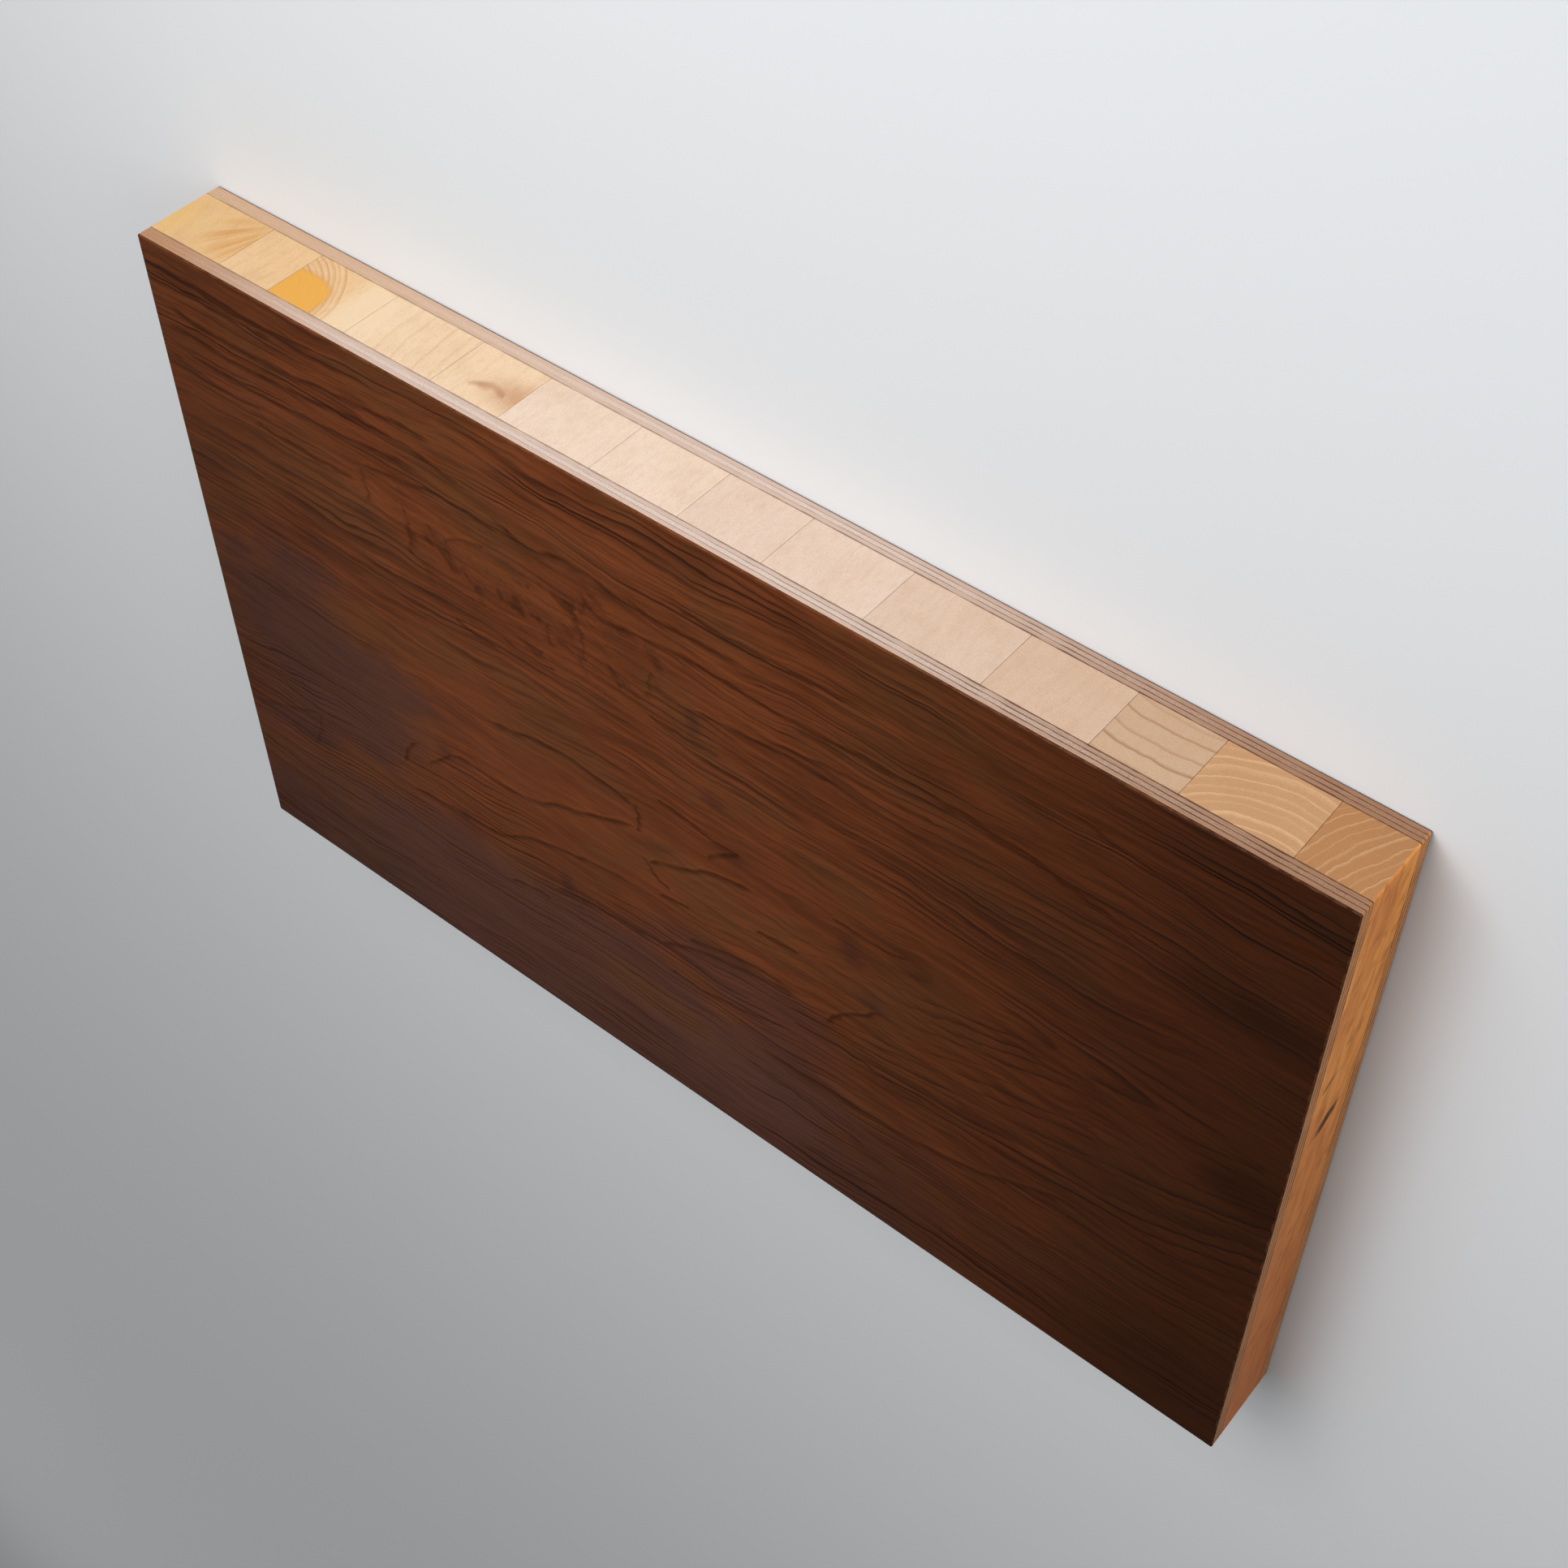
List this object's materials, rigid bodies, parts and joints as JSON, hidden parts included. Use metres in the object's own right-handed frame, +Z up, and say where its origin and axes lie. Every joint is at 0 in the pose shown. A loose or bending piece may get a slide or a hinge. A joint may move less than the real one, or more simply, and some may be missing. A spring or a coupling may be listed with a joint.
{
  "type": "marine blockboard",
  "caption": "Flat rectangular blockboard panel with a dark veneer face, crossed plies and a core of pale softwood strips, their end grain open on the long edges.",
  "frame": {"origin": "centre of the back face, which lies on the floor", "axes": "+X along the panel's length, across the core strips; +Y along the strips; +Z up, out of the dark face"},
  "size_m": [0.32, 0.2, 0.025],
  "materials": {
    "dark_veneer": "satin dark brown hardwood veneer, straight grain with curly figure",
    "skin_ply": "sawn and sanded pinkish tan plies with dark glue lines",
    "core_softwood": "sawn and sanded pale softwood, end grain on the long edges"
  },
  "bodies": {
    "root": {"face_veneer": "dark_veneer", "back_veneer": "dark_veneer", "face_ply_1": "skin_ply", "face_ply_2": "skin_ply", "face_ply_3": "skin_ply", "back_ply_1": "skin_ply", "back_ply_2": "skin_ply", "back_ply_3": "skin_ply", "core_strip_01": "core_softwood", "core_strip_02": "core_softwood", "core_strip_03": "core_softwood", "core_strip_04": "core_softwood", "core_strip_05": "core_softwood", "core_strip_06": "core_softwood", "core_strip_07": "core_softwood", "core_strip_08": "core_softwood", "core_strip_09": "core_softwood", "core_strip_10": "core_softwood", "core_strip_11": "core_softwood", "core_strip_12": "core_softwood", "core_strip_13": "core_softwood", "core_strip_14": "core_softwood"}
  },
  "joints": []
}
